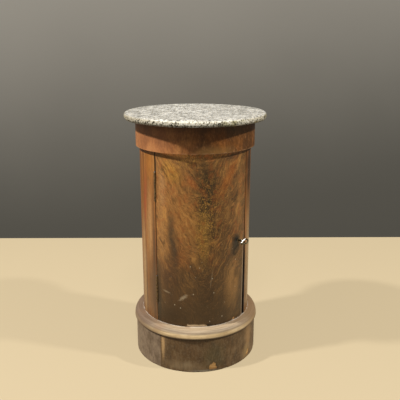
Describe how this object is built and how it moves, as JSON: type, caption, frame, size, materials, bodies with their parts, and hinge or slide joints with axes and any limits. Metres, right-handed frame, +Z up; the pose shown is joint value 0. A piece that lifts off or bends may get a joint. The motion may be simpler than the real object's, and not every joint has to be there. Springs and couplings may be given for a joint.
{
  "type": "bedside pot cupboard",
  "caption": "Round veneered wooden cupboard with a grey marble top, a curved hinged door with a lock and key, a shelf inside, and a moulded plinth.",
  "frame": {"origin": "on the floor under the drum's centre, the middle of the footprint", "axes": "+Z up; the middle of the door faces -Y; the hinges are on the -X side"},
  "size_m": [0.4159, 0.416, 0.75],
  "materials": {
    "marble": "satin polished, speckled grey marble",
    "pine": "bare, aged softwood",
    "door_mahogany": "flame figured veneer, worn satin polish",
    "drum_mahogany": "straight grained veneer, worn satin polish",
    "frieze_mahogany": "reddish veneer, worn satin polish",
    "plinth_mahogany": "dark, dull veneer",
    "moulding_mahogany": "solid wood, worn pale on its upper face",
    "solid_mahogany": "solid wood, dull",
    "hinge_brass": "dull brown patina",
    "steel": "dull, slightly rusted",
    "lock_steel": "dull wrought steel",
    "key_steel": "bright where hands rub it"
  },
  "bodies": {
    "carcass": {"marble_top": "marble", "top_board": "pine", "frieze_course_lower": "pine", "frieze_course_upper": "pine", "frieze_veneer": "frieze_mahogany", "carcass_stave_1": "pine", "carcass_stave_2": "pine", "carcass_stave_3": "pine", "carcass_stave_4": "pine", "carcass_stave_5": "pine", "carcass_stave_6": "pine", "carcass_stave_7": "pine", "carcass_stave_8": "pine", "hinge_stile": "solid_mahogany", "lock_stile": "solid_mahogany", "carcass_veneer": "drum_mahogany", "base_board": "pine", "shelf": "pine", "shelf_bearer_1": "pine", "shelf_bearer_2": "pine", "shelf_bearer_3": "pine", "door_stop_lower": "solid_mahogany", "door_stop_upper": "solid_mahogany", "plinth_course_lower": "pine", "plinth_course_upper": "pine", "plinth_veneer": "plinth_mahogany", "plinth_moulding": "moulding_mahogany", "glue_block_1": "pine", "glue_block_2": "pine", "glue_block_3": "pine", "glue_block_4": "pine", "lower_hinge_frame_leaf": "hinge_brass", "lower_hinge_pin": "steel", "upper_hinge_frame_leaf": "hinge_brass", "upper_hinge_pin": "steel", "hinge_frame_screws": "steel", "strike_plate": "hinge_brass", "strike_screws": "steel"},
    "door": {"door_stave_1": "pine", "door_stave_2": "pine", "door_stave_3": "pine", "door_stave_4": "pine", "door_hinge_edge": "solid_mahogany", "door_lock_edge": "solid_mahogany", "door_veneer": "door_mahogany", "lower_hinge_door_leaf": "hinge_brass", "upper_hinge_door_leaf": "hinge_brass", "hinge_door_screws": "steel", "lock_case": "lock_steel", "lock_plate": "lock_steel", "lock_screws": "steel", "drill_pin": "lock_steel", "bolt_spring": "lock_steel", "keyhole_liner": "hinge_brass"},
    "lock_bolt": {"lock_bolt": "lock_steel"},
    "key": {"key": "key_steel"}
  },
  "joints": [
    {"name": "door_hinge", "type": "hinge", "parent": "carcass", "child": "door", "pos_m": [-0.13134, -0.10151, 0.395], "axis": [0, 0, -1], "range_deg": [0, 160]},
    {"name": "key_turn", "type": "hinge", "parent": "door", "child": "key", "pos_m": [0.10748, -0.12585, 0.387], "axis": [-0.6494, 0.7604, 0], "range_deg": [-70, 110]},
    {"name": "bolt_slide", "type": "slide", "parent": "door", "child": "lock_bolt", "axis": [0.7604, 0.6494, 0], "range_m": [-0.0039, 0.00612]}
  ],
  "couplings": [
    {"joint": "bolt_slide", "follows": "key_turn", "m_per_rad": 0.0031831}
  ]
}
